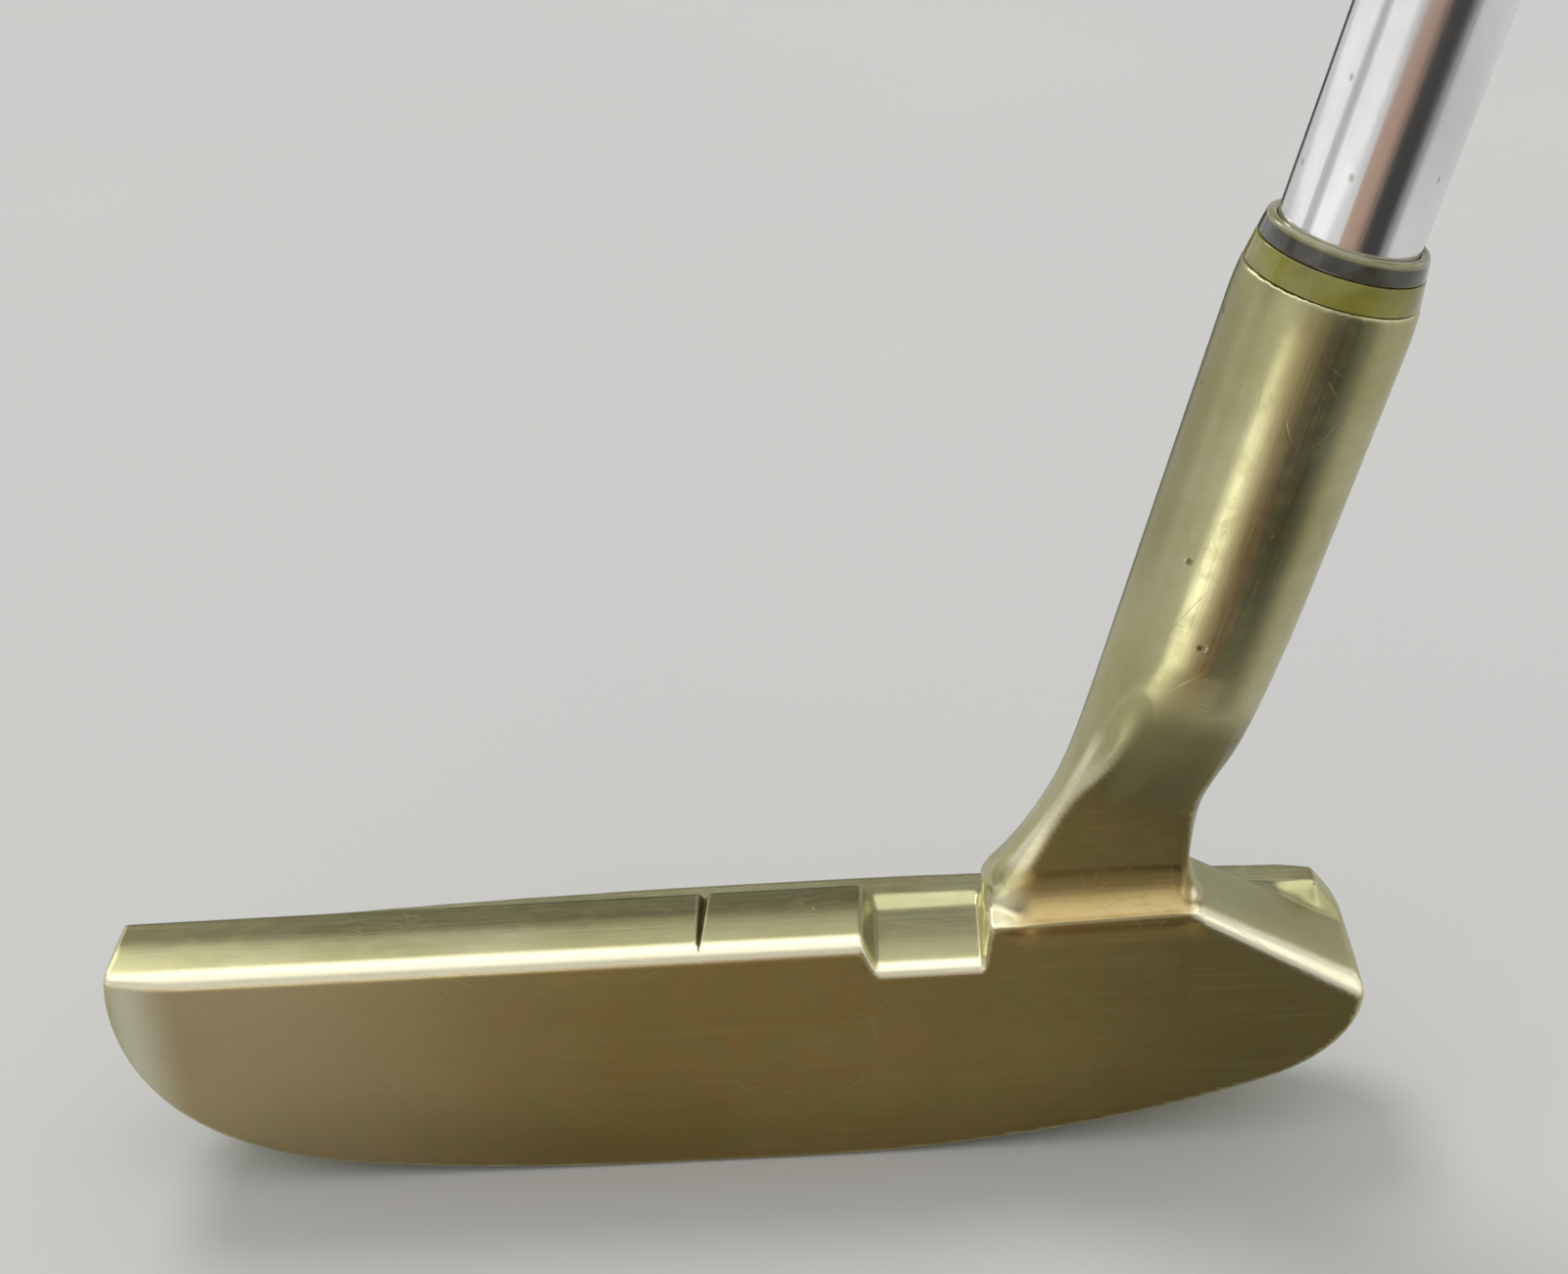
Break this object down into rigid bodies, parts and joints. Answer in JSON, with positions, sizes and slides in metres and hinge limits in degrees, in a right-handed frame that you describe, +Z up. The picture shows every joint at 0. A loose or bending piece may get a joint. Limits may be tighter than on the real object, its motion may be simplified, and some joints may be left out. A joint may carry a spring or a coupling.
{
  "type": "blade putter",
  "caption": "Blade putter: flat brass head with a notched, sight-lined top and flowing neck, stepped steel shaft, two-tone ferrule and leather-wrapped paddle grip.",
  "frame": {"origin": "centre of the flat stretch of the sole, on the ground the club is addressed on", "axes": "+X from toe to heel, +Y from the striking face to the back, +Z up; the shaft lies in a plane parallel to XZ and leans 18.1 degrees from +Z towards +X"},
  "size_m": [0.3741, 0.0266, 0.8482],
  "materials": {
    "head_brass": "polished, worn",
    "shaft_chrome": "bright plated steel",
    "amber_plastic": "translucent, polished",
    "black_plastic": "polished",
    "epoxy": "cured adhesive",
    "cork": "raw",
    "plug_wood": "raw",
    "underlist": "matte",
    "leather": "worn, slightly tacky",
    "collar_rubber": "moulded, satin",
    "cap_plastic": "moulded, satin",
    "screw_brass": "bright"
  },
  "bodies": {
    "root": {"putter_head": "head_brass", "shaft": "shaft_chrome", "ferrule_amber": "amber_plastic", "ferrule_black": "black_plastic", "shaft_bond": "epoxy", "tip_plug": "cork", "butt_plug": "plug_wood", "grip_underlist": "underlist", "grip_leather": "leather", "grip_collar": "collar_rubber", "grip_cap": "cap_plastic", "cap_screw": "screw_brass"}
  },
  "joints": []
}
